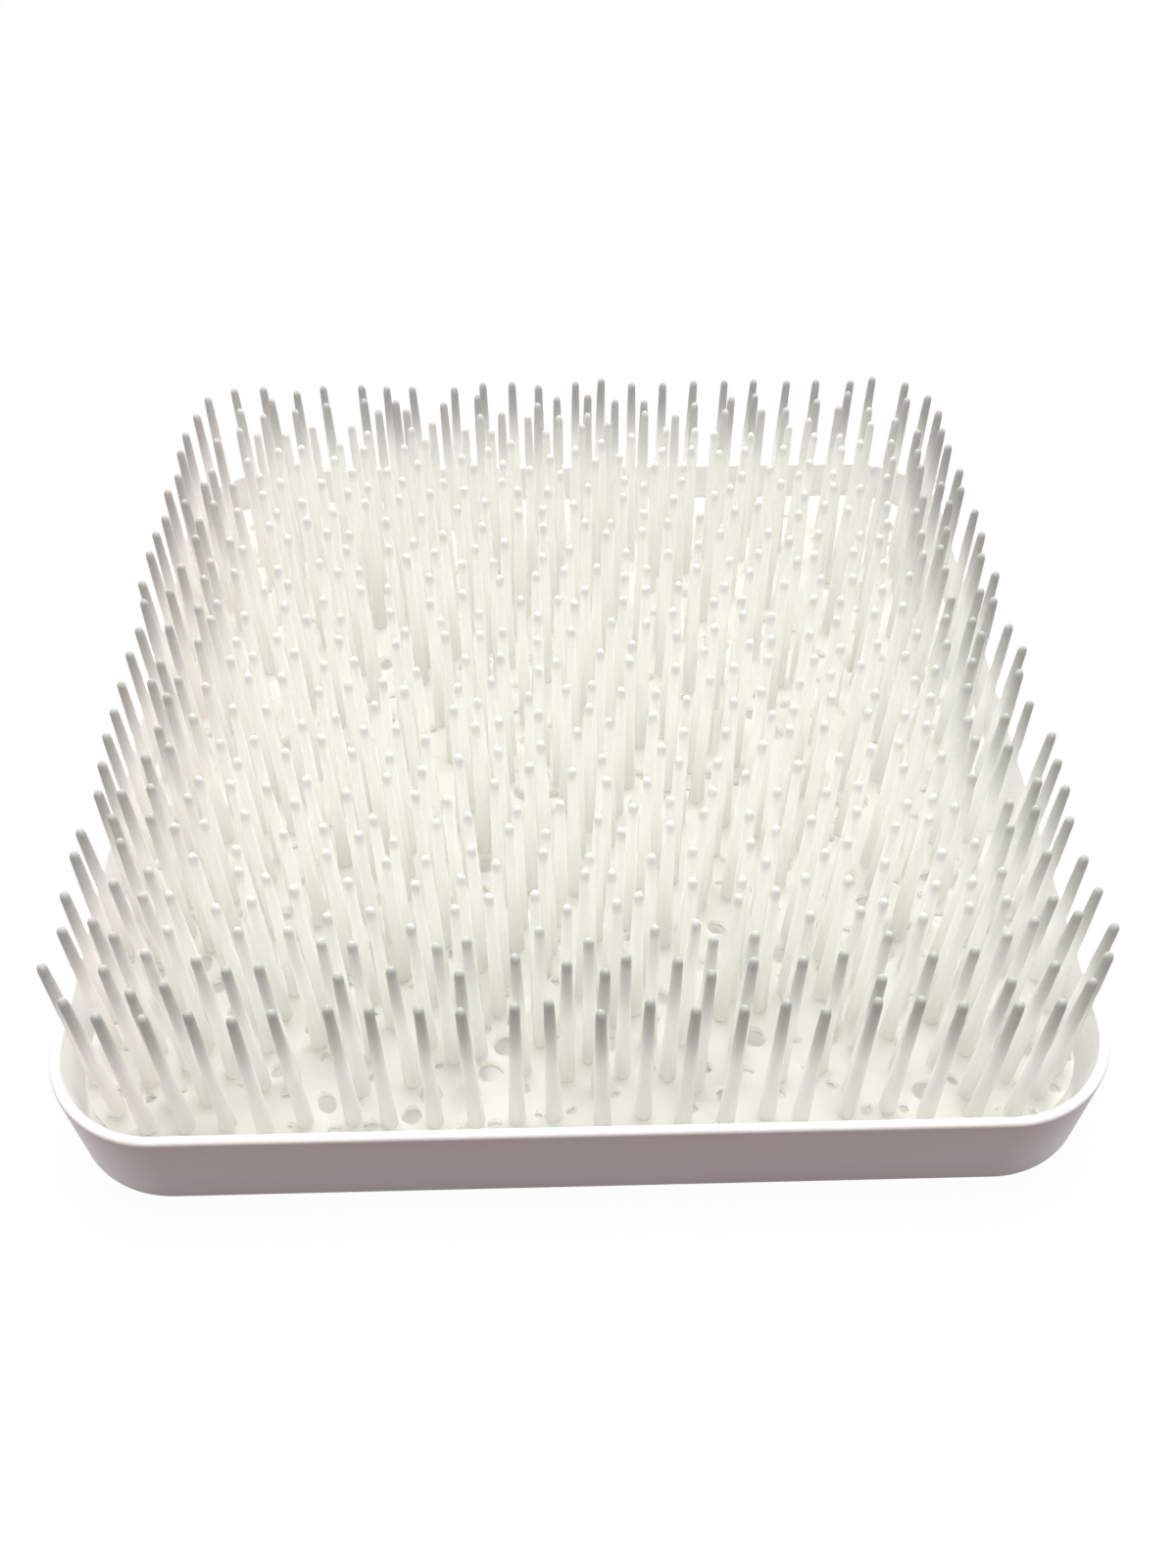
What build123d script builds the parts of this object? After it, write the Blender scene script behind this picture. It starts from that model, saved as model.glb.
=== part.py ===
from build123d import *

import math
import os
from random import Random

# A countertop drying rack for bottles: a square drip tray, and a moulded mat of upright blades
# that stands in it on short legs. Millimetres, +Z up, origin at the middle of the tray's underside.

# Drip tray
TRAY_SIDE = 241.0  # outside, across the rim
TRAY_CORNER = 27.0  # outside radius in plan, at the rim
TRAY_HEIGHT = 26.0
TRAY_WALL = 2.5
TRAY_FLOOR = 2.5
TRAY_DRAFT = 1.15  # degrees that the walls lean out
RIM_ROUND = 1.2  # outer edge of the rim
RIM_BREAK = 0.6  # height of the bevel on the rim's inner edge
BASE_BREAK = 0.8  # height of the bevel under the wall
FLOOR_BEVEL = 3.0  # height of the bevel inside, where floor meets wall
BEVEL_SLOPE = 45.0  # degrees of these bevels from upright

# Sheet of the blade mat
MAT_GAP = 2.8  # clearance to the tray's wall, all round
MAT_THICK = 2.2
WATER_SPACE = 8.5  # height of the legs, from the tray's floor to the sheet

# Legs under the sheet
LEG_SIDE = 6.0
LEG_FOOT_SIDE = 5.0
LEGS_EACH_WAY = 4
LEG_MARGIN = 24.0  # outer legs' centres from the sheet's edge

# Blades. A few flat sides stand for the round section, so their corners reach a little further out
# than the round blade does, and their flats lie inside it.
BLADE_LENGTH = 47.1  # from the sheet to the start of the tip
TIP_LENGTH = 2.2
ROOT_RADIUS = 1.65
NECK_RADIUS = 1.1  # under the tip
BLADE_SIDES = 3
CORNER_REACH = 1.3  # corner radius as a share of the round blade's

# Where the blades stand
EDGE_MARGIN = 2.7  # outer row's line from the sheet's edge
ROW_PITCH = 9.3  # along the outer row
ROW_DRIFT = 2.2  # largest shift along the row
ROW_DEPTH = 2.8  # largest shift inwards
FIELD_PITCH = 9.6  # between blades inside the outer row
FIELD_DRIFT = 2.8  # largest shift from an even grid
FIELD_MARGIN = 5.5  # field's edge from the outer row's line
FIELD_TURN = 17.0  # degrees between the grid and the tray's sides
LEAST_SPACING = 5.2
BLADE_SEED = 4

# Drain holes through the sheet
HOLE_COUNT = 64
HOLE_SIDES = 6
LEAST_HOLE = 1.3  # radius
LARGEST_HOLE = 2.7  # radius
HOLE_SPACING = 19.0
HOLE_WEB = 0.7  # material left between a hole and what stands beside it
HOLE_SQUEEZE = 0.3  # most that a hole is narrower one way than the other
HOLE_SEED = 11
HOLE_TRIES = 40000

# Levels and plan sizes that follow from these
LEAN = math.tan(math.radians(TRAY_DRAFT))
MAT_LOW = TRAY_FLOOR + WATER_SPACE
MAT_TOP = MAT_LOW + MAT_THICK
ROOT_REACH = ROOT_RADIUS * CORNER_REACH
NECK_REACH = NECK_RADIUS * CORNER_REACH


def outer_inset(z):
    """How far the tray's outside lies in from its rim line at height z."""
    return (TRAY_HEIGHT - z) * LEAN


def inner_inset(z):
    return TRAY_WALL + outer_inset(z)


MAT_INSET = inner_inset(MAT_LOW) + MAT_GAP
MAT_SIDE = TRAY_SIDE - 2 * MAT_INSET
MAT_CORNER = TRAY_CORNER - MAT_INSET


def tray_block(inset, low, high=TRAY_HEIGHT, slope=TRAY_DRAFT):
    """A rounded square from one height to another, its sides leaning out by slope degrees."""
    side = TRAY_SIDE - 2 * inset
    outline = Pos(0, 0, low) * RectangleRounded(side, side, TRAY_CORNER - inset)
    return extrude(outline, high - low, taper=-slope)


def drip_tray():
    """Walls with the tray's draft, and a bevelled band at the base, on the floor and at the mouth."""
    run = math.tan(math.radians(BEVEL_SLOPE))
    base = tray_block(outer_inset(BASE_BREAK) + BASE_BREAK * run, 0, BASE_BREAK, BEVEL_SLOPE)
    walls = tray_block(outer_inset(BASE_BREAK), BASE_BREAK)
    rim = walls.edges().filter_by_position(Axis.Z, TRAY_HEIGHT, TRAY_HEIGHT)
    bend = TRAY_FLOOR + FLOOR_BEVEL
    pan = tray_block(inner_inset(bend) + FLOOR_BEVEL * run, TRAY_FLOOR, bend, BEVEL_SLOPE)
    hollow = tray_block(inner_inset(bend), bend)
    lip = TRAY_HEIGHT - RIM_BREAK
    mouth = tray_block(inner_inset(lip), lip, TRAY_HEIGHT, BEVEL_SLOPE)
    return base + fillet(rim, RIM_ROUND) - (pan + hollow + mouth)


def point_on_row(along, inwards):
    """Plan place on the outer row's line, which follows the sheet's edge round its corners."""
    radius = MAT_CORNER - EDGE_MARGIN
    middle = MAT_SIDE / 2 - MAT_CORNER
    quarter = 2 * middle + radius * math.pi / 2
    turns, rest = divmod(along, quarter)
    if rest < 2 * middle:
        x, y = middle + radius - inwards, rest - middle
    else:
        angle = (rest - 2 * middle) / radius
        x = middle + (radius - inwards) * math.cos(angle)
        y = middle + (radius - inwards) * math.sin(angle)
    for _ in range(int(turns) % 4):
        x, y = -y, x
    return x, y


def distance_in(x, y):
    """How far inside the sheet's edge a plan place lies."""
    middle = MAT_SIDE / 2 - MAT_CORNER
    across, along = abs(x) - middle, abs(y) - middle
    beyond = math.hypot(max(across, 0), max(along, 0))
    return MAT_CORNER - beyond - min(max(across, along), 0)


def outer_row(dice):
    radius = MAT_CORNER - EDGE_MARGIN
    length = 4 * (MAT_SIDE - 2 * MAT_CORNER) + 2 * math.pi * radius
    count = round(length / ROW_PITCH)
    places = []
    for step in range(count):
        along = step * length / count + dice.uniform(0, ROW_DRIFT)
        places.append(point_on_row(along, dice.uniform(0, ROW_DEPTH)))
    return places


def inner_field(dice):
    """An even triangular grid, turned, with each blade shifted a little its own way."""
    reach = int(MAT_SIDE / FIELD_PITCH) + 1
    turn = math.radians(FIELD_TURN)
    places = []
    for row in range(-reach, reach + 1):
        for column in range(-reach, reach + 1):
            heading = dice.uniform(0, 2 * math.pi)
            drift = FIELD_DRIFT * math.sqrt(dice.random())
            across = (column + row % 2 / 2) * FIELD_PITCH
            along = row * FIELD_PITCH * math.sqrt(3) / 2
            x = across * math.cos(turn) - along * math.sin(turn) + drift * math.cos(heading)
            y = across * math.sin(turn) + along * math.cos(turn) + drift * math.sin(heading)
            if distance_in(x, y) > EDGE_MARGIN + FIELD_MARGIN:
                places.append((x, y))
    return places


def clear_of(place, others, least):
    return all(math.dist(place, other) >= least for other in others)


def blade_places():
    dice = Random(BLADE_SEED)
    places = []
    for place in outer_row(dice) + inner_field(dice):
        if clear_of(place, places, LEAST_SPACING):
            places.append(place)
    return places


def leg_places():
    reach = MAT_SIDE / 2 - LEG_MARGIN
    step = 2 * reach / (LEGS_EACH_WAY - 1)
    line = [k * step - reach for k in range(LEGS_EACH_WAY)]
    return [(x, y) for x in line for y in line]


def hole_places(blades, legs):
    """Places, with the room that each has between the blades' roots and clear of the legs."""
    dice = Random(HOLE_SEED)
    reach = MAT_SIDE / 2
    leg_reach = LEG_SIDE / math.sqrt(2)
    holes = []
    for _ in range(HOLE_TRIES):
        place = dice.uniform(-reach, reach), dice.uniform(-reach, reach)
        if len(holes) == HOLE_COUNT:
            break
        if not clear_of(place, [hole[:2] for hole in holes], HOLE_SPACING):
            continue
        to_blade = min(math.dist(place, blade) for blade in blades) - ROOT_REACH
        to_leg = min(math.dist(place, leg) for leg in legs) - leg_reach
        room = min(to_blade, to_leg, distance_in(*place)) - HOLE_WEB
        if room >= LEAST_HOLE:
            holes.append((*place, min(room, LARGEST_HOLE)))
    return holes


def ring_of_points(x, y, z, radius, sides, turn, squeeze=0.0):
    points = []
    for k in range(sides):
        angle = 2 * math.pi * k / sides
        along, across = radius * math.cos(angle), radius * (1 - squeeze) * math.sin(angle)
        px = x + along * math.cos(turn) - across * math.sin(turn)
        py = y + along * math.sin(turn) + across * math.cos(turn)
        points.append(Vector(px, py, z))
    return points


def polygon(points):
    return Face(Wire.make_polygon(points))


def blade(x, y, turn):
    """One blade's root outline, and its flat sides and tip above that outline."""
    root = ring_of_points(x, y, MAT_TOP, ROOT_REACH, BLADE_SIDES, turn)
    neck = ring_of_points(x, y, MAT_TOP + BLADE_LENGTH, NECK_REACH, BLADE_SIDES, turn)
    point = Vector(x, y, MAT_TOP + BLADE_LENGTH + TIP_LENGTH)
    faces = []
    for k in range(BLADE_SIDES):
        after = (k + 1) % BLADE_SIDES
        faces.append(polygon([root[k], root[after], neck[after], neck[k]]))
        faces.append(polygon([neck[k], neck[after], point]))
    return Wire.make_polygon(root), faces


def sheet_with_legs(holes, legs):
    outline = RectangleRounded(MAT_SIDE, MAT_SIDE, MAT_CORNER).face().outer_wire()
    dice = Random(HOLE_SEED)
    drains = []
    for x, y, radius in holes:
        turn, squeeze = dice.uniform(0, math.pi), dice.uniform(0, HOLE_SQUEEZE)
        drains.append(Wire.make_polygon(ring_of_points(x, y, 0, radius, HOLE_SIDES, turn, squeeze)))
    sheet = Pos(0, 0, MAT_LOW) * extrude(Face(outline, drains), MAT_THICK)
    under = Pos(0, 0, WATER_SPACE) * Rectangle(LEG_SIDE, LEG_SIDE)
    leg = loft([Rectangle(LEG_FOOT_SIDE, LEG_FOOT_SIDE), under])
    return sheet + [Pos(x, y, TRAY_FLOOR) * leg for x, y in legs]


def blade_mat():
    """The sheet's top face is pierced by every root outline, and the blades close it again."""
    blades, legs = blade_places(), leg_places()
    body = sheet_with_legs(hole_places(blades, legs), legs)
    top = body.faces().sort_by(Axis.Z)[-1]
    dice = Random(BLADE_SEED)
    roots, skin = [], []
    for x, y in blades:
        root, faces = blade(x, y, dice.uniform(0, math.pi))
        roots.append(root)
        skin += faces
    pierced = Face(top.outer_wire(), list(top.inner_wires()) + roots)
    skin += [face for face in body.faces() if face != top]
    return Solid(Shell(skin + [pierced]))


os.makedirs("parts", exist_ok=True)
export_step(drip_tray(), "parts/drip_tray.step")
export_step(blade_mat(), "parts/blade_mat.step")
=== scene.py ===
import math
from random import Random

import bpy
from mathutils import Matrix, Vector


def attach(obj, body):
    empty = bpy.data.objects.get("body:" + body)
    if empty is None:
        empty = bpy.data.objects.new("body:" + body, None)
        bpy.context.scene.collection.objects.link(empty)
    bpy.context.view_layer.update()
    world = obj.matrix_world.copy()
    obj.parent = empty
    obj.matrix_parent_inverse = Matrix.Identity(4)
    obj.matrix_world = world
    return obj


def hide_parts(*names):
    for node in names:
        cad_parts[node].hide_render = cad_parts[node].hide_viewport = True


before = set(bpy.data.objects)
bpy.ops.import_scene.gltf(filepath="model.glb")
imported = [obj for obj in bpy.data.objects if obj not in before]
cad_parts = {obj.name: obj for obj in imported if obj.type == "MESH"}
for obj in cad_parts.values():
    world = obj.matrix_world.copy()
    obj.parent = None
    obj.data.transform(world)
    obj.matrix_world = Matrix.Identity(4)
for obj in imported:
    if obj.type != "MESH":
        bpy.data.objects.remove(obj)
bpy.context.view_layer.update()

# The looks of a countertop bottle drying rack: a white drip tray, and a milky mat of upright
# blades in it. Lengths that are named with _MM are millimetres; Blender's own are metres.
MM = 0.001

# Drip tray
TRAY_SIDE_MM = 241.0
TRAY_CORNER_MM = 27.0
TRAY_HEIGHT_MM = 26.0
TRAY_WALL_MM = 2.5
TRAY_FLOOR_MM = 2.5
TRAY_LEAN = math.tan(math.radians(1.15))
RIM_ROUND_MM = 1.2
MOUTH_ROUND_MM = 0.8
BASE_ROUND_MM = 0.8
FLOOR_COVE_MM = 3.0
SHY_OF_SOLID_MM = 0.005  # keeps the looks inside the solid's box
CORNER_STEPS = 28
ROUND_STEPS = 5

# Sheet and legs of the mat
MAT_GAP_MM = 2.8
MAT_LOW_MM = 11.0
MAT_TOP_MM = 13.2
LEGS_EACH_WAY = 4
LEG_MARGIN_MM = 24.0
LEG_SIDE_MM = 6.0
LEG_FOOT_SIDE_MM = 5.0
SHEET_CORNER_STEPS = 14
WELD_MM = 0.01  # points of the sheet closer than this become one
MAT_INSET_MM = TRAY_WALL_MM + (TRAY_HEIGHT_MM - MAT_LOW_MM) * TRAY_LEAN + MAT_GAP_MM
MAT_SIDE_MM = TRAY_SIDE_MM - 2 * MAT_INSET_MM
MAT_CORNER_MM = TRAY_CORNER_MM - MAT_INSET_MM

# One blade
BLADE_TOP_MM = 62.49
ROOT_RADIUS_MM = 2.05
NECK_RADIUS_MM = 1.12
TIP_LENGTH_MM = 1.7
ROOT_FLARE_MM = 0.4
FLARE_HEIGHT_MM = 1.1
BLADE_LEAN = math.radians(0.9)  # most, about x and about y
MOST_TURN = 3.14  # radians about its own axis, for a blade or a hole
SHORTEST_BLADE = 0.985  # as a share of the longest
BLADE_RINGS = 9  # half of them up the shank, half round the tip
ROOT_CROWDING = 3.0  # power that draws the shank's rings towards the root
BLADE_SIDES = 8
BLUNT_END = 0.03  # the last ring's radius, as a share of the neck's

# Where the blades stand
EDGE_MARGIN_MM = 2.7
ROW_PITCH_MM = 9.3
ROW_DRIFT_MM = 2.2
ROW_DEPTH_MM = 2.8
FIELD_PITCH_MM = 9.6
FIELD_DRIFT_MM = 2.8
FIELD_MARGIN_MM = 5.5
FIELD_TURN = math.radians(17)
LEAST_SPACING_MM = 5.2
BLADE_SEED = 4

# Drain holes
HOLE_COUNT = 520  # at most
LEAST_HOLE_MM = 0.9
LARGEST_HOLE_MM = 3.2
HOLE_SPACING_MM = 6.4
HOLE_WEB_MM = 0.5
HOLE_TRIES = 30000
HOLE_SEED = 11
HOLE_SIDES = 12
NARROWEST_HOLE = 0.62  # as a share of its length
HOLE_WOBBLE_MM = 1.1  # from one extreme to the other
WOBBLE_SCALE = 420.0
LIP_RADIUS_MM = 0.22
LIP_SIDES = 5

# What a vertex of the mat's plan stands for
BLADE, HOLE, LEG = 0, 1, 2

# Depth of the fine bump in both plastics
BUMP_DEPTH_MM = 0.2

# Where the blade plastic's look changes, from the place where a change starts to where it ends
SHEET_SHADE_MM = (30.0, 13.5)  # height, downwards; painted shade down among the blades, darkest on the sheet
SHEET_LIGHT_MM = (13.5, 18.0)  # height; more light passes through the sheet than the blades
TIP_SHADE_MM = (36.0, 61.5)  # height; painted shade in the tips
CAP_SHADE_MM = (57.5, 61.5)  # height; painted shade in the tips' caps
OUTER_MM = (82.0, 108.0)  # out from the middle, towards any side; where the tips' painted shade is full
BEHIND_MM = (-20.0, 90.0)  # towards the back; painted shade, greyer there and lilac in the outer tips
LEFTMOST_MM = (-70.0, -105.0)  # towards the left; painted pink light

# How far these changes go where they are full, as shares
MILK_SHARE = 0.35
SHEET_SHARE = 0.85
TIP_SHARE = 0.9
MIDDLE_TIP_SHARE = 0.10  # of the outer tips' change, for the tips in the middle
CAP_SHARE = 0.42
BEHIND_SHARE = 0.5
LEFTMOST_SHARE = 0.5
LEFTMOST_EDGE_SHARE = 0.7

# Share of the plastic's look that is light from the other side
THROUGH_SHEET = 0.75
THROUGH_BLADES = 0.58

# Studio. Each softbox has a place and a size in metres, a power in watts and a tone.
SURROUND = (0.200, 0.146, 0.145)  # the room's tone, except where a ray sees it directly
FLOOR_HALF_MM = 3000
SQUARE = ((-1, -1), (1, -1), (1, 1), (-1, 1))
FLOOR_GLOW = 1.08  # strength of a glow that only a ray that sees the floor directly meets
GLOW_SHARE = 0.9  # of what such a ray sees; the rest is the floor's own tone
SOFTBOXES = {
    "overhead": ((0.1, 0.45, 1.35), (1.1, 0.9), 46.5, (0.985, 1.0, 0.99)),
    "left": ((-1.2, 0.1, 0.7), (0.7, 0.7), 3.5, (1.0, 0.80, 0.77)),
}

# Camera, as the photograph was taken
CAMERA_MM = (-4.7, -265.9, 306.5)
CAMERA_YAW = -0.032
CAMERA_PITCH = 0.850
CAMERA_ROLL = -0.006
FOCAL_PIXELS = 1453.0
FRAME_LONG_PIXELS = 1600
SENSOR_MM = 36.0
CLIP_START_MM = 10.0


class Value:
    """A node's output socket that takes part in Python arithmetic."""

    def __init__(self, graph, socket):
        self.graph = graph
        self.socket = socket

    def math(self, operation, other=0.0, swap=False):
        pair = (other, self) if swap else (self, other)
        return self.graph.out("ShaderNodeMath", {"operation": operation}, dict(enumerate(pair)))

    def __add__(self, other):
        return self.math("ADD", other)

    def __radd__(self, other):
        return self.math("ADD", other)

    def __sub__(self, other):
        return self.math("SUBTRACT", other)

    def __rsub__(self, other):
        return self.math("SUBTRACT", other, swap=True)

    def __mul__(self, other):
        return self.math("MULTIPLY", other)

    def __rmul__(self, other):
        return self.math("MULTIPLY", other)

    def __truediv__(self, other):
        return self.math("DIVIDE", other)

    def __rtruediv__(self, other):
        return self.math("DIVIDE", other, swap=True)

    def __pow__(self, other):
        return self.math("POWER", other)


class Graph:
    """A node tree, with one way to add a node to it."""

    def __init__(self, tree):
        self.tree = tree
        tree.nodes.clear()

    def node(self, kind, settings=None, inputs=None):
        made = self.tree.nodes.new(kind)
        for name, value in (settings or {}).items():
            setattr(made, name, value)
        for key, value in (inputs or {}).items():
            if isinstance(value, Value):
                self.tree.links.new(value.socket, made.inputs[key])
            else:
                made.inputs[key].default_value = value
        return made

    def out(self, kind, settings=None, inputs=None, output=0):
        return Value(self, self.node(kind, settings, inputs).outputs[output])

    def clamp(self, value, low=0.0, high=1.0):
        return self.out("ShaderNodeClamp", None, {0: value, 1: low, 2: high})

    def ramp(self, value, low, high, to_low=0.0, to_high=1.0):
        """A soft step as value goes from low to high, either of which may be the larger."""
        inputs = {0: value, 1: low, 2: high, 3: to_low, 4: to_high}
        return self.out("ShaderNodeMapRange", {"interpolation_type": "SMOOTHSTEP"}, inputs)

    def band(self, place, ends_mm, to_low=0.0, to_high=1.0):
        """A ramp between two places that are given in millimetres."""
        return self.ramp(place, ends_mm[0] * MM, ends_mm[1] * MM, to_low, to_high)

    def mix(self, factor, first, second):
        inputs = {0: factor, 6: first, 7: second}
        return self.out("ShaderNodeMix", {"data_type": "RGBA"}, inputs, output=2)

    def noise(self, where, scale, detail=2.0, roughness=0.5):
        inputs = {"Vector": where, "Scale": scale, "Detail": detail, "Roughness": roughness}
        return self.out("ShaderNodeTexNoise", None, inputs)

    def bump(self, height, strength, distance):
        inputs = {"Height": height, "Strength": strength, "Distance": distance}
        return self.out("ShaderNodeBump", None, inputs)


def colour(red, green, blue):
    return (red, green, blue, 1.0)


def shader_graph(name):
    made = bpy.data.materials.new(name)
    made.use_nodes = True
    return made, Graph(made.node_tree)


def object_place(graph):
    """Object coordinates, and their three parts."""
    where = graph.out("ShaderNodeTexCoord", output="Object")
    parts = graph.node("ShaderNodeSeparateXYZ", None, {0: where})
    return where, [Value(graph, output) for output in parts.outputs]


def finish_material(graph, shader):
    graph.node("ShaderNodeOutputMaterial", None, {"Surface": shader})


def tray_plastic():
    """Glossy white moulded plastic, with a faint orange peel and a slightly uneven sheen."""
    material, graph = shader_graph("tray_plastic_white")
    where, _ = object_place(graph)
    cloud = graph.noise(where, scale=9.0, detail=3.0)
    peel = graph.noise(where, scale=1400.0)
    smears = graph.noise(where, scale=45.0, detail=4.0, roughness=0.62)
    inputs = {
        "Base Color": graph.mix(cloud, colour(0.86, 0.845, 0.845), colour(0.90, 0.885, 0.88)),
        "Roughness": graph.ramp(smears, low=0.35, high=0.7, to_low=0.30, to_high=0.34),
        "IOR": 1.5,
        "Normal": graph.bump(peel, strength=0.05, distance=BUMP_DEPTH_MM * MM),
    }
    finish_material(graph, graph.out("ShaderNodeBsdfPrincipled", None, inputs))
    return material


def blade_tone_and_painted_light(graph, where, parts, milk):
    """Base colour of the mat, with painted shade and light in it, and how much painted shade its
    tips get.
    """
    x, y, z = parts
    tint = graph.noise(where, scale=14.0)
    base = graph.mix(tint, colour(0.95, 0.97, 0.94), colour(0.975, 0.965, 0.95))
    base = graph.mix(milk * MILK_SHARE, base, colour(0.99, 0.99, 0.98))
    # Painted shade: darker and yellower from 30 mm down to the sheet, down among the blades.
    sheet_shade = graph.band(z, SHEET_SHADE_MM)
    base = graph.mix(sheet_shade * SHEET_SHARE, base, colour(0.86, 0.86, 0.825))

    # Painted shade in the tips round the edge: green-grey at the front, lilac-grey at the back,
    # pinkish on the left.
    out = x.math("ABSOLUTE").math("MAXIMUM", y.math("ABSOLUTE"))
    outer = graph.band(out, OUTER_MM, to_low=MIDDLE_TIP_SHARE)
    behind = graph.band(y, BEHIND_MM)
    leftmost = graph.band(x, LEFTMOST_MM)
    edge_shade_colour = graph.mix(behind, colour(0.66, 0.695, 0.64), colour(0.50, 0.485, 0.505))
    edge_shade_colour = graph.mix(leftmost * LEFTMOST_EDGE_SHARE, edge_shade_colour, colour(0.72, 0.66, 0.65))
    # Painted shade: the whole mat greyer towards the back.
    base = graph.mix(behind * BEHIND_SHARE, base, colour(0.88, 0.88, 0.85))
    # Painted pink light: the whole mat pinker towards the left.
    base = graph.mix(leftmost * LEFTMOST_SHARE, base, colour(0.96, 0.90, 0.885))

    # Painted shade in the tips, full round the edge and faint in the middle.
    tip = graph.band(z, TIP_SHADE_MM) * outer * TIP_SHARE
    # Painted shade in the tips' caps, none in the outer rows at the back.
    cap_shade = graph.band(z, CAP_SHADE_MM) * (1.0 - behind * outer) * CAP_SHARE
    base = graph.mix(tip, base, edge_shade_colour)
    base = graph.mix(cap_shade, base, colour(0.52, 0.54, 0.50))
    return base, graph.clamp(tip + cap_shade)


def blade_plastic():
    """Frosted, milky plastic that lets more light through the sheet; painted shade there and in
    edge tips.
    """
    material, graph = shader_graph("blade_plastic_milky")
    where, parts = object_place(graph)
    milk = graph.noise(where, scale=160.0, detail=3.0, roughness=0.6)
    frost = graph.noise(where, scale=2600.0)
    base, painted_shade = blade_tone_and_painted_light(graph, where, parts, milk)
    inputs = {
        "Base Color": base,
        "Roughness": graph.ramp(milk, low=0.3, high=0.7, to_low=0.52, to_high=0.66),
        "IOR": 1.45,
        "Normal": graph.bump(frost, strength=0.12, distance=BUMP_DEPTH_MM * MM),
    }
    skin = graph.out("ShaderNodeBsdfPrincipled", None, inputs)
    pale = graph.out("ShaderNodeBsdfTranslucent", None, {"Color": colour(0.955, 0.955, 0.93)})
    # Painted shade in the light that passes through the tips.
    shaded_through = graph.out("ShaderNodeBsdfTranslucent", None, {"Color": colour(0.56, 0.565, 0.55)})
    through = graph.out("ShaderNodeMixShader", None, {0: painted_shade, 1: pale, 2: shaded_through})
    share = graph.band(parts[2], SHEET_LIGHT_MM, THROUGH_SHEET, THROUGH_BLADES)
    finish_material(graph, graph.out("ShaderNodeMixShader", None, {0: share, 1: skin, 2: through}))
    return material


def rounded_square(side, corner, steps):
    """Points round a square with rounded corners, anticlockwise, in its own units."""
    middle = side / 2 - corner
    points = []
    for quarter in range(4):
        for step in range(steps + 1):
            angle = math.pi / 2 * (quarter + step / steps)
            towards = math.pi / 2 * quarter + math.pi / 4
            across = middle * math.sqrt(2) * math.cos(towards) + corner * math.cos(angle)
            along = middle * math.sqrt(2) * math.sin(towards) + corner * math.sin(angle)
            points.append((across, along))
    return points


def quarter_round(inset, z, radius, start):
    """Inset and height along a quarter turn about a centre, from the angle start upwards."""
    points = []
    for step in range(ROUND_STEPS + 1):
        angle = start + math.pi / 2 * step / ROUND_STEPS
        points.append((inset - radius * math.cos(angle), z + radius * math.sin(angle)))
    return points


def tray_section():
    """The wall's section as (inset from the rim line, height), from under the tray to its floor."""
    low_inset = TRAY_HEIGHT_MM * TRAY_LEAN
    half = math.pi / 2
    base = quarter_round(low_inset + BASE_ROUND_MM, BASE_ROUND_MM, BASE_ROUND_MM, -half)
    rim_inset = RIM_ROUND_MM + RIM_ROUND_MM * TRAY_LEAN + SHY_OF_SOLID_MM
    outer = quarter_round(rim_inset, TRAY_HEIGHT_MM - RIM_ROUND_MM, RIM_ROUND_MM, 0)
    mouth_inset = TRAY_WALL_MM - MOUTH_ROUND_MM
    inner = quarter_round(mouth_inset, TRAY_HEIGHT_MM - MOUTH_ROUND_MM, MOUTH_ROUND_MM, half)
    cove_z = TRAY_FLOOR_MM + FLOOR_COVE_MM
    cove_inset = TRAY_WALL_MM + (TRAY_HEIGHT_MM - cove_z) * TRAY_LEAN
    cove = quarter_round(cove_inset + FLOOR_COVE_MM, cove_z, FLOOR_COVE_MM, -half)
    return base + outer + inner + cove[::-1]


def mesh_object(name, points, faces):
    mesh = bpy.data.meshes.new(name)
    mesh.from_pydata([tuple(MM * part for part in point) for point in points], [], faces)
    mesh.validate()
    made = bpy.data.objects.new(name, mesh)
    bpy.context.scene.collection.objects.link(made)
    return made


def drip_tray():
    """The section carried round the rounded square, with the two flat faces filled in."""
    points, faces = [], []
    rings = tray_section()
    for inset, z in rings:
        ring = rounded_square(TRAY_SIDE_MM - 2 * inset, TRAY_CORNER_MM - inset, CORNER_STEPS)
        points += [(px, py, z) for px, py in ring]
    count = len(points) // len(rings)
    for level in range(len(rings) - 1):
        for k in range(count):
            after = (k + 1) % count
            low, high = level * count, (level + 1) * count
            faces.append((low + k, low + after, high + after, high + k))
    faces.append(tuple(reversed(range(count))))
    faces.append(tuple(range(len(points) - count, len(points))))
    made = mesh_object("tray_shell", points, faces)
    made.data.polygons.foreach_set("use_smooth", [True] * len(faces))
    return made


def point_on_row(along, inwards):
    """Plan place on the outer row's line, which follows the sheet's edge round its corners."""
    radius = MAT_CORNER_MM - EDGE_MARGIN_MM
    middle = MAT_SIDE_MM / 2 - MAT_CORNER_MM
    quarter = 2 * middle + radius * math.pi / 2
    turns, rest = divmod(along, quarter)
    if rest < 2 * middle:
        x, y = middle + radius - inwards, rest - middle
    else:
        angle = (rest - 2 * middle) / radius
        x = middle + (radius - inwards) * math.cos(angle)
        y = middle + (radius - inwards) * math.sin(angle)
    for _ in range(int(turns) % 4):
        x, y = -y, x
    return x, y


def distance_in(x, y):
    """How far inside the sheet's edge a plan place lies."""
    middle = MAT_SIDE_MM / 2 - MAT_CORNER_MM
    across, along = abs(x) - middle, abs(y) - middle
    beyond = math.hypot(max(across, 0), max(along, 0))
    return MAT_CORNER_MM - beyond - min(max(across, along), 0)


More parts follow.
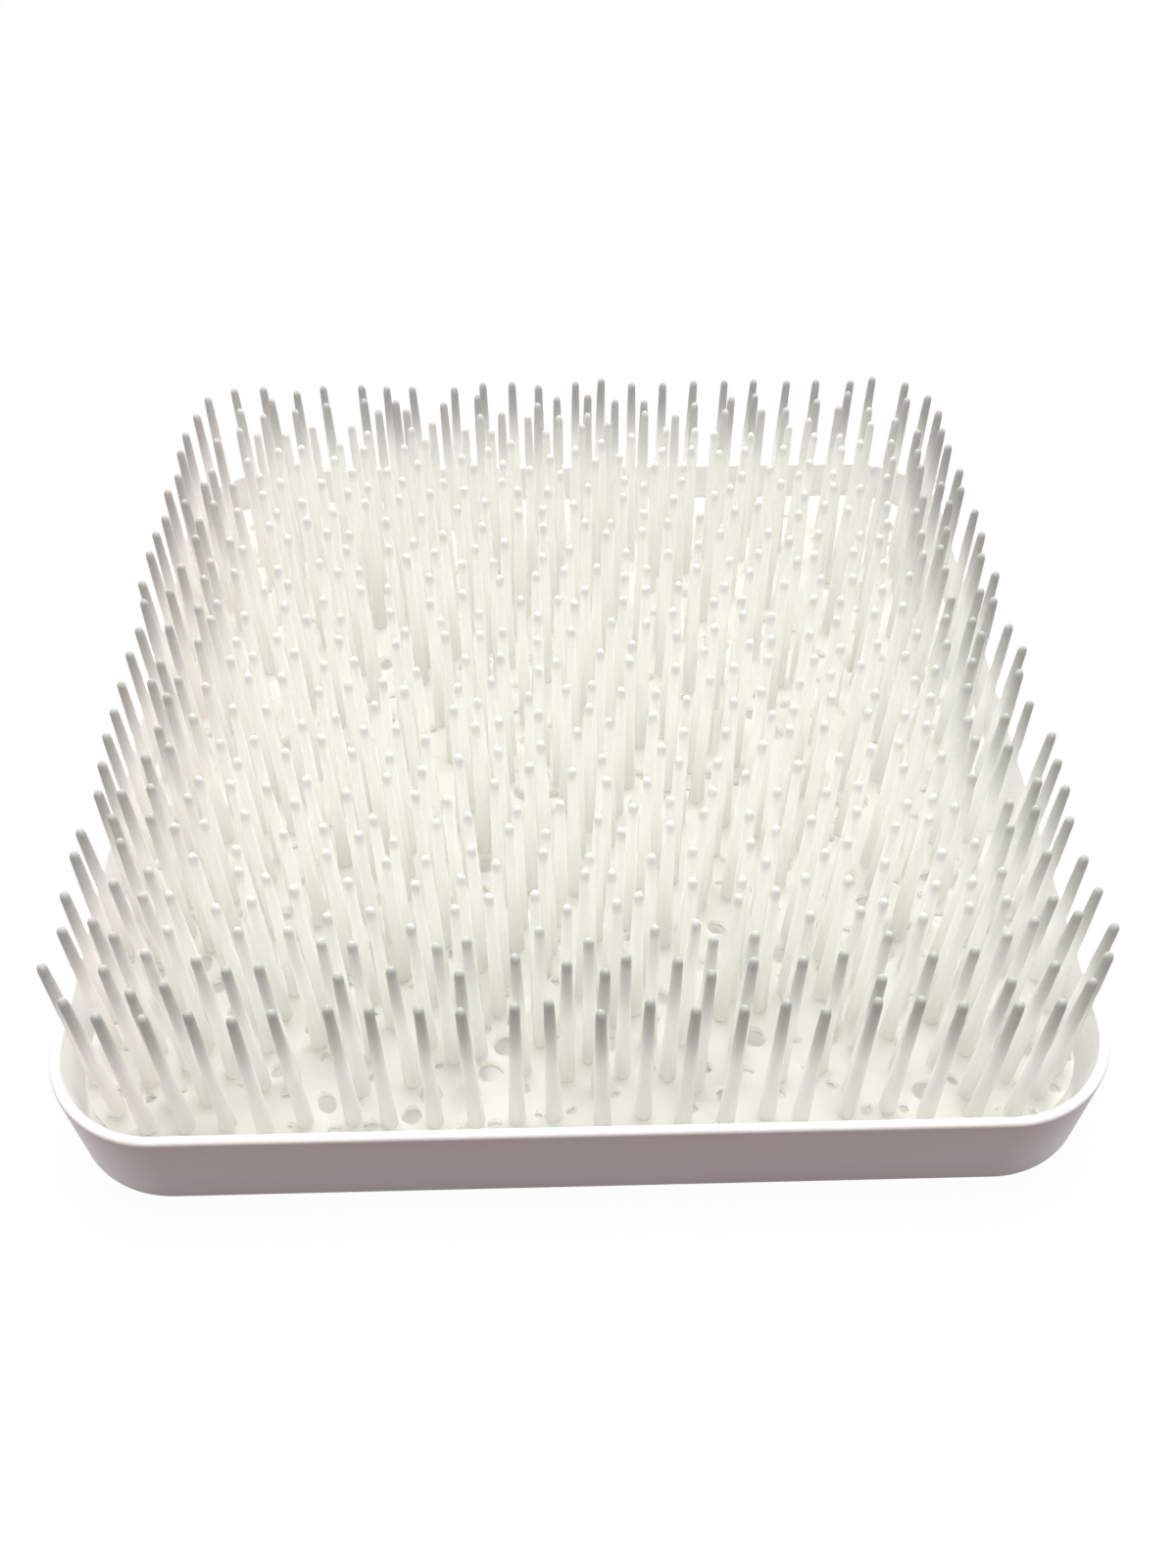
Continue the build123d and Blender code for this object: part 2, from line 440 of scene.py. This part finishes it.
def outer_row(dice):
    radius = MAT_CORNER_MM - EDGE_MARGIN_MM
    length = 4 * (MAT_SIDE_MM - 2 * MAT_CORNER_MM) + 2 * math.pi * radius
    count = round(length / ROW_PITCH_MM)
    places = []
    for step in range(count):
        along = step * length / count + dice.uniform(0, ROW_DRIFT_MM)
        places.append(point_on_row(along, dice.uniform(0, ROW_DEPTH_MM)))
    return places


def inner_field(dice):
    reach = int(MAT_SIDE_MM / FIELD_PITCH_MM) + 1
    places = []
    for row in range(-reach, reach + 1):
        for column in range(-reach, reach + 1):
            heading = dice.uniform(0, 2 * math.pi)
            drift = FIELD_DRIFT_MM * math.sqrt(dice.random())
            across = (column + row % 2 / 2) * FIELD_PITCH_MM
            along = row * FIELD_PITCH_MM * math.sqrt(3) / 2
            x = across * math.cos(FIELD_TURN) - along * math.sin(FIELD_TURN)
            y = across * math.sin(FIELD_TURN) + along * math.cos(FIELD_TURN)
            x, y = x + drift * math.cos(heading), y + drift * math.sin(heading)
            if distance_in(x, y) > EDGE_MARGIN_MM + FIELD_MARGIN_MM:
                places.append((x, y))
    return places


def clear_of(place, others, least):
    return all(math.dist(place, other) >= least for other in others)


def blade_places():
    """The same plan as the solid's: an outer row, and a drifting triangular grid inside it."""
    dice = Random(BLADE_SEED)
    places = []
    for place in outer_row(dice) + inner_field(dice):
        if clear_of(place, places, LEAST_SPACING_MM):
            places.append(place)
    return places


def leg_places():
    reach = MAT_SIDE_MM / 2 - LEG_MARGIN_MM
    step = 2 * reach / (LEGS_EACH_WAY - 1)
    line = [k * step - reach for k in range(LEGS_EACH_WAY)]
    return [(x, y) for x in line for y in line]


def hole_places(blades, legs):
    """Places that the blades and legs leave free, with the room that each has."""
    dice = Random(HOLE_SEED)
    reach = MAT_SIDE_MM / 2
    holes = []
    for _ in range(HOLE_TRIES):
        place = dice.uniform(-reach, reach), dice.uniform(-reach, reach)
        if len(holes) == HOLE_COUNT:
            break
        if not clear_of(place, [hole[:2] for hole in holes], HOLE_SPACING_MM):
            continue
        to_blade = min(math.dist(place, blade) for blade in blades) - ROOT_RADIUS_MM
        to_leg = min(math.dist(place, leg) for leg in legs) - LEG_SIDE_MM / math.sqrt(2)
        room = min(to_blade, to_leg, distance_in(*place)) - HOLE_WEB_MM
        if room >= LEAST_HOLE_MM:
            holes.append((*place, min(room, LARGEST_HOLE_MM)))
    return holes


def plan_points(blades, holes, legs):
    """One vertex for each blade, hole and leg, with what the tree needs to know of it."""
    points = [(x, y, MAT_TOP_MM) for x, y in blades]
    points += [(x, y, MAT_TOP_MM) for x, y, _ in holes]
    points += [(x, y, TRAY_FLOOR_MM) for x, y in legs]
    kinds = [BLADE] * len(blades) + [HOLE] * len(holes) + [LEG] * len(legs)
    sizes = [1.0] * len(blades) + [MM * hole[2] for hole in holes] + [1.0] * len(legs)
    made = mesh_object("mat_plan", points, [])
    made.data.attributes.new("kind", "INT", "POINT").data.foreach_set("value", kinds)
    made.data.attributes.new("size", "FLOAT", "POINT").data.foreach_set("value", sizes)
    return made


class MatGraph(Graph):
    """A geometry tree, with the few steps that the mat repeats."""

    def attribute(self, name, kind):
        settings = {"data_type": kind}
        return self.out("GeometryNodeInputNamedAttribute", settings, {"Name": name})

    def only(self, plan, kind):
        """The plan's points of one kind."""
        settings = {"data_type": "INT", "operation": "EQUAL"}
        inputs = {2: self.attribute("kind", "INT"), 3: kind}
        same = self.out("FunctionNodeCompare", settings, inputs)
        return self.out("GeometryNodeSeparateGeometry", None, {0: plan, 1: same})

    def combine(self, x=0.0, y=0.0, z=0.0):
        return self.out("ShaderNodeCombineXYZ", None, {0: x, 1: y, 2: z})

    def random(self, low, high, seed):
        inputs = {2: low, 3: high, "Seed": seed}
        return self.out("FunctionNodeRandomValue", {"data_type": "FLOAT"}, inputs, output=1)

    def join(self, parts):
        made = self.node("GeometryNodeJoinGeometry")
        for part in parts:
            self.tree.links.new(part.socket, made.inputs[0])
        return Value(self, made.outputs[0])

    def ring(self, sides):
        inputs = {"Resolution": sides, "Radius": 1.0}
        return self.out("GeometryNodeCurvePrimitiveCircle", None, inputs)

    def moved(self, geometry, offset):
        return self.out("GeometryNodeSetPosition", None, {0: geometry, 3: offset})

    def tube(self, line, radius, sides, capped):
        """A smooth tube along a line. Its radius may change from point to point."""
        line = self.out("GeometryNodeSetCurveRadius", None, {0: line, 2: radius})
        girth = self.out("GeometryNodeInputRadius")
        inputs = {0: line, 1: self.ring(sides), 2: girth, 3: capped}
        made = self.out("GeometryNodeCurveToMesh", None, inputs)
        return self.out("GeometryNodeSetShadeSmooth", None, {0: made, 2: True})

    def instances(self, points, instance, rotation, scale):
        inputs = {"Points": points, "Instance": instance, "Rotation": rotation, "Scale": scale}
        placed = self.out("GeometryNodeInstanceOnPoints", None, inputs)
        return self.out("GeometryNodeRealizeInstances", None, {0: placed})


def grow_blades(graph, given):
    """A tapered blade with a flared root and a domed tip, on each of the plan's places for one."""
    height, tip = given["Blade height"], given["Tip length"]
    line = graph.out("GeometryNodeCurvePrimitiveLine", None, {1: graph.combine(z=1.0)})
    line = graph.out("GeometryNodeResampleCurve", None, {"Curve": line, "Count": BLADE_RINGS})
    along = graph.out("GeometryNodeInputIndex") / (BLADE_RINGS - 1.0)
    up_shank = graph.clamp(along * 2.0) ** ROOT_CROWDING
    round_tip = graph.clamp(along * 2.0 - 1.0) * (math.pi / 2)
    level = up_shank * (height - tip) + round_tip.math("SINE") * tip
    line = graph.out("GeometryNodeSetPosition", None, {0: line, 2: graph.combine(z=level)})

    taper = given["Root radius"] + (given["Neck radius"] - given["Root radius"]) * up_shank
    dome = graph.clamp(round_tip.math("COSINE"), BLUNT_END, 1.0)
    near_root = graph.clamp(1.0 - level / given["Flare height"])
    flare = given["Root flare"] * near_root * near_root
    blade = graph.tube(line, taper * dome + flare, BLADE_SIDES, True)

    lean = given["Lean"]
    lean_x, lean_y = (graph.random(-1.0, 1.0, seed) * lean for seed in (1, 2))
    tilt = graph.combine(lean_x, lean_y, graph.random(0.0, MOST_TURN, 3))
    scale = graph.combine(1.0, 1.0, graph.random(SHORTEST_BLADE, 1.0, 4))
    return graph.instances(graph.only(given["Plan"], BLADE), blade, tilt, scale)


def hole_outlines(graph, given):
    """Uneven rings, each squeezed, turned and pushed about a little its own way."""
    size = graph.attribute("size", "FLOAT")
    stretch = graph.combine(size, size * graph.random(NARROWEST_HOLE, 1.0, 5), 1.0)
    turn = graph.combine(z=graph.random(0.0, MOST_TURN, 6))
    holes = graph.instances(graph.only(given["Plan"], HOLE), graph.ring(HOLE_SIDES), turn, stretch)
    inputs = {"Scale": WOBBLE_SCALE, "Detail": 1.0}
    noise = graph.out("ShaderNodeTexNoise", None, inputs, output=1)
    span = HOLE_WOBBLE_MM * MM
    inputs = {0: noise, 1: (span, span, 0.0), 2: (-span / 2, -span / 2, 0.0)}
    shift = graph.out("ShaderNodeVectorMath", {"operation": "MULTIPLY_ADD"}, inputs)
    return graph.moved(holes, shift)


def cut_sheet(graph, given):
    """The sheet between its edge and the holes, and a fine lip round each of these outlines."""
    lift = (0.0, 0.0, MAT_TOP_MM * MM)
    side = given["Sheet side"]
    edge = graph.out("GeometryNodeCurvePrimitiveQuadrilateral", None, {0: side, 1: side})
    inputs = {0: edge, 2: given["Sheet corner"], 1: SHEET_CORNER_STEPS}
    edge = graph.out("GeometryNodeFilletCurve", {"mode": "POLY"}, inputs)
    outline = graph.join([graph.moved(edge, lift), hole_outlines(graph, given)])

    filled = graph.moved(graph.out("GeometryNodeFillCurve", None, {0: outline}), lift)
    inputs = {0: filled, 2: (0.0, 0.0, -1.0), 3: given["Sheet thickness"], 4: False}
    raised = graph.out("GeometryNodeExtrudeMesh", None, inputs)
    lid = graph.out("GeometryNodeFlipFaces", None, {0: filled})
    inputs = {0: graph.join([raised, lid]), 2: WELD_MM * MM}
    sheet = graph.out("GeometryNodeMergeByDistance", None, inputs)
    lips = graph.tube(outline, given["Lip radius"], LIP_SIDES, False)
    return graph.join([sheet, lips])


def stand_legs(graph, given):
    """A square leg, narrower at its foot, on each of the plan's places for one."""
    inputs = {
        "Vertices": 4,
        "Radius Top": LEG_SIDE_MM * MM / math.sqrt(2),
        "Radius Bottom": LEG_FOOT_SIDE_MM * MM / math.sqrt(2),
        "Depth": given["Leg height"],
    }
    leg = graph.out("GeometryNodeMeshCone", None, inputs)
    places = graph.only(given["Plan"], LEG)
    return graph.instances(places, leg, (0.0, 0.0, math.pi / 4), (1.0, 1.0, 1.0))


def blade_mat_tree():
    """Blades, drain holes and legs grown on the plan's points, as one geometry tree."""
    tree = bpy.data.node_groups.new("blade_mat_tree", "GeometryNodeTree")
    tree.is_modifier = True
    graph = MatGraph(tree)
    sizes = {
        "Blade height": (BLADE_TOP_MM - MAT_TOP_MM) * MM,
        "Root radius": ROOT_RADIUS_MM * MM,
        "Neck radius": NECK_RADIUS_MM * MM,
        "Tip length": TIP_LENGTH_MM * MM,
        "Root flare": ROOT_FLARE_MM * MM,
        "Flare height": FLARE_HEIGHT_MM * MM,
        "Sheet side": MAT_SIDE_MM * MM,
        "Sheet corner": MAT_CORNER_MM * MM,
        "Sheet thickness": (MAT_TOP_MM - MAT_LOW_MM) * MM,
        "Leg height": (MAT_LOW_MM - TRAY_FLOOR_MM) * MM,
        "Lip radius": LIP_RADIUS_MM * MM,
        "Lean": BLADE_LEAN,
    }
    kinds = {"Plan": "NodeSocketGeometry", **{name: "NodeSocketFloat" for name in sizes}}
    kinds["Material"] = "NodeSocketMaterial"
    for name, kind in kinds.items():
        tree.interface.new_socket(name, in_out="INPUT", socket_type=kind)
    tree.interface.new_socket("Mat", in_out="OUTPUT", socket_type="NodeSocketGeometry")
    group = graph.node("NodeGroupInput")
    given = {output.name: Value(graph, output) for output in group.outputs if output.name}

    parts = [step(graph, given) for step in (grow_blades, cut_sheet, stand_legs)]
    whole = graph.out("GeometryNodeRealizeInstances", None, {0: graph.join(parts)})
    whole = graph.out("GeometryNodeSetMaterial", None, {0: whole, 2: given["Material"]})
    graph.node("NodeGroupOutput", None, {0: whole})
    return tree, sizes


def blade_mat(material):
    """The tree's result on the plan, as a plain mesh."""
    blades, legs = blade_places(), leg_places()
    plan = plan_points(blades, hole_places(blades, legs), legs)
    tree, sizes = blade_mat_tree()
    modifier = plan.modifiers.new("grow", "NODES")
    modifier.node_group = tree
    sockets = [item for item in tree.interface.items_tree if item.in_out == "INPUT"]
    inputs = {socket.name: socket.identifier for socket in sockets}
    for name, size in sizes.items():
        modifier[inputs[name]] = size
    modifier[inputs["Material"]] = material
    bpy.context.view_layer.update()
    grown = plan.evaluated_get(bpy.context.evaluated_depsgraph_get())
    mesh = bpy.data.meshes.new_from_object(grown)
    made = bpy.data.objects.new("blade_field", mesh)
    bpy.context.scene.collection.objects.link(made)
    bpy.data.objects.remove(plan)
    return made


def add_camera():
    """The camera that was fitted to the tray's outline in the photograph."""
    right = Vector((math.cos(CAMERA_YAW), math.sin(CAMERA_YAW), 0))
    level = Vector((-math.sin(CAMERA_YAW), math.cos(CAMERA_YAW), 0))
    ahead = level * math.cos(CAMERA_PITCH) - Vector((0, 0, math.sin(CAMERA_PITCH)))
    down = ahead.cross(right)
    x_axis = right * math.cos(CAMERA_ROLL) + down * math.sin(CAMERA_ROLL)
    y_axis = right * math.sin(CAMERA_ROLL) - down * math.cos(CAMERA_ROLL)
    turn = Matrix((x_axis, y_axis, -ahead)).transposed()
    data = bpy.data.cameras.new("camera")
    data.lens = SENSOR_MM * FOCAL_PIXELS / FRAME_LONG_PIXELS
    data.sensor_width = SENSOR_MM
    data.clip_start = CLIP_START_MM * MM
    camera = bpy.data.objects.new("camera", data)
    camera.matrix_world = Matrix.Translation(Vector(CAMERA_MM) * MM) @ turn.to_4x4()
    bpy.context.scene.collection.objects.link(camera)
    bpy.context.scene.camera = camera


def add_softbox(name, place, size, watts, tone):
    """An area light that faces the middle of the floor."""
    data = bpy.data.lights.new(name, "AREA")
    data.shape = "RECTANGLE"
    data.size, data.size_y = size
    data.energy = watts
    data.color = tone
    lamp = bpy.data.objects.new(name, data)
    lamp.location = place
    lamp.rotation_euler = (-Vector(place)).to_track_quat("-Z", "Y").to_euler()
    bpy.context.scene.collection.objects.link(lamp)


def seen_directly(graph):
    """1 for rays from the camera, off a glossy surface or through a surface, and else 0."""
    path = graph.node("ShaderNodeLightPath")
    names = ("Is Camera Ray", "Is Glossy Ray", "Is Transmission Ray")
    camera, glossy, through = (Value(graph, path.outputs[name]) for name in names)
    return graph.clamp(camera + glossy + through)


def add_studio():
    """A bright, plain room: its light, a pale floor and two softboxes."""
    world = bpy.data.worlds.new("studio")
    bpy.context.scene.world = world
    world.use_nodes = True
    graph = Graph(world.node_tree)
    tone = graph.mix(seen_directly(graph), colour(*SURROUND), colour(1, 1, 1))
    light = graph.out("ShaderNodeBackground", None, {0: tone, 1: 1.0})
    graph.node("ShaderNodeOutputWorld", None, {"Surface": light})

    corners = [(x * FLOOR_HALF_MM, y * FLOOR_HALF_MM, 0) for x, y in SQUARE]
    floor = mesh_object("floor", corners, [(0, 1, 2, 3)])
    material, graph = shader_graph("floor_white")
    where, _ = object_place(graph)
    grain = graph.noise(where, scale=3.0)
    tone = graph.mix(grain, colour(0.18, 0.145, 0.145), colour(0.21, 0.165, 0.165))
    matte = graph.out("ShaderNodeBsdfDiffuse", None, {"Color": tone})
    inputs = {"Color": colour(1, 1, 1), "Strength": FLOOR_GLOW}
    glow = graph.out("ShaderNodeEmission", None, inputs)
    share = seen_directly(graph) * GLOW_SHARE
    finish_material(graph, graph.out("ShaderNodeMixShader", None, {0: share, 1: matte, 2: glow}))
    floor.data.materials.append(material)

    for name, settings in SOFTBOXES.items():
        add_softbox(name, *settings)


add_camera()
add_studio()

tray = drip_tray()
tray.data.materials.append(tray_plastic())
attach(tray, "root")
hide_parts("drip_tray")

mat = blade_mat(blade_plastic())
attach(mat, "root")
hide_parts("blade_mat")

bpy.context.scene.view_settings.view_transform = "Standard"
